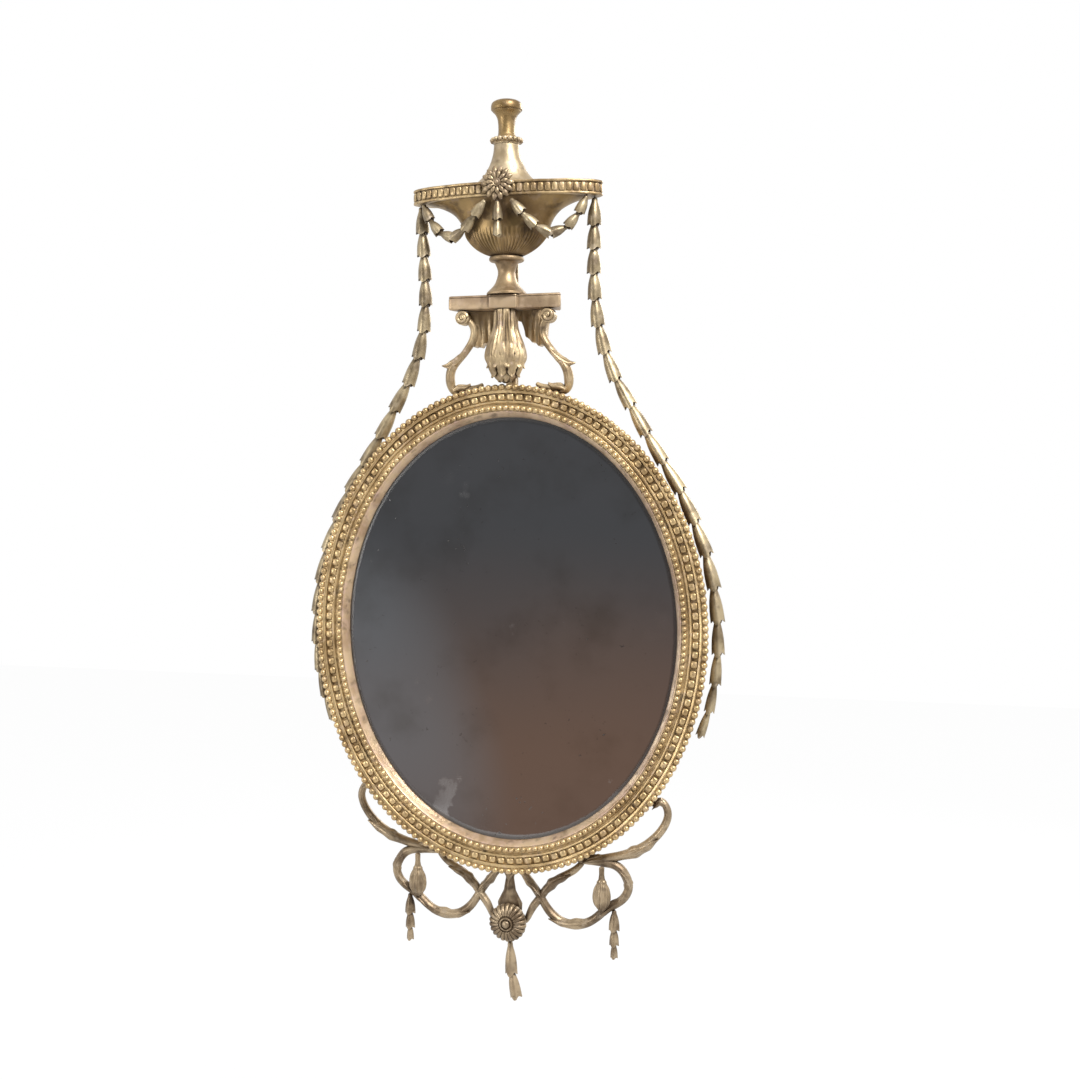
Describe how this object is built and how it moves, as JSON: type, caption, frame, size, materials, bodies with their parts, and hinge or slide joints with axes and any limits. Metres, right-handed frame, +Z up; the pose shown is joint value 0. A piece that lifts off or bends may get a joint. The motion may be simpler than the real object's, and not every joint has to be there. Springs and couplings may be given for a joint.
{
  "type": "oval wall mirror",
  "caption": "Carved and gilded oval wall mirror with a beaded frame, an urn crest on a scrolled console, husk chains down both sides and a scrolled apron.",
  "frame": {"origin": "centre of the oval, on the wall plane that the pads rest against", "axes": "+X to the right seen from the front, +Y into the wall, +Z up"},
  "size_m": [0.5686, 0.0805, 1.1793],
  "materials": {
    "gilt_wood": "worn water gilding over carved softwood",
    "gilt_slip": "rubbed gilding with bole showing",
    "silvered_glass": "old silvered plate, foxed",
    "pine": "raw softwood darkened by age",
    "felt": "wool felt",
    "brass": "dull brass",
    "iron": "black wrought iron",
    "iron_wire": "annealed iron wire"
  },
  "bodies": {
    "mirror": {"oval_frame": "gilt_wood", "outer_beads": "gilt_wood", "block_course": "gilt_wood", "pearl_course": "gilt_wood", "console_board": "gilt_wood", "console_leg_left": "gilt_wood", "console_leg_right": "gilt_wood", "acanthus_bud": "gilt_wood", "plinth": "gilt_wood", "urn_foot": "gilt_wood", "urn_body": "gilt_wood", "urn_bowl": "gilt_wood", "urn_rim": "gilt_wood", "rim_blocks": "gilt_wood", "urn_lid": "gilt_wood", "bead_ring": "gilt_wood", "finial_knob": "gilt_wood", "crest_rosette": "gilt_wood", "rosette_drop": "gilt_wood", "festoon_left": "gilt_wood", "festoon_right": "gilt_wood", "husk_chain_left": "gilt_wood", "husk_chain_right": "gilt_wood", "base_scroll_left": "gilt_wood", "base_scroll_right": "gilt_wood", "base_bud_left": "gilt_wood", "base_bud_right": "gilt_wood", "base_drop_left": "gilt_wood", "base_drop_right": "gilt_wood", "patera": "gilt_wood", "patera_stem": "gilt_wood", "centre_drop": "gilt_wood", "sight_slip": "gilt_slip", "mirror_plate": "silvered_glass", "glazing_wedges": "pine", "backboard_left": "pine", "backboard_centre": "pine", "backboard_right": "pine", "wall_pads": "felt", "ring_plate_left": "brass", "ring_plate_right": "brass", "ring_screws": "brass", "crest_strap": "iron", "strap_screws": "iron", "backboard_brads": "iron", "chain_wire_left": "iron_wire", "chain_wire_right": "iron_wire", "festoon_wires": "iron_wire", "drop_wires": "iron_wire"},
    "ring_left": {"hang_ring_left": "brass"},
    "ring_right": {"hang_ring_right": "brass"}
  },
  "joints": [
    {"name": "ring_right_swing", "type": "hinge", "parent": "mirror", "child": "ring_right", "pos_m": [0.18998, -0.00342, 0.1938], "axis": [0.823, 0, 0.568], "range_deg": [0, 165]},
    {"name": "ring_left_swing", "type": "hinge", "parent": "mirror", "child": "ring_left", "pos_m": [-0.18998, -0.00342, 0.1938], "axis": [0.823, 0, -0.568], "range_deg": [0, 165]}
  ]
}
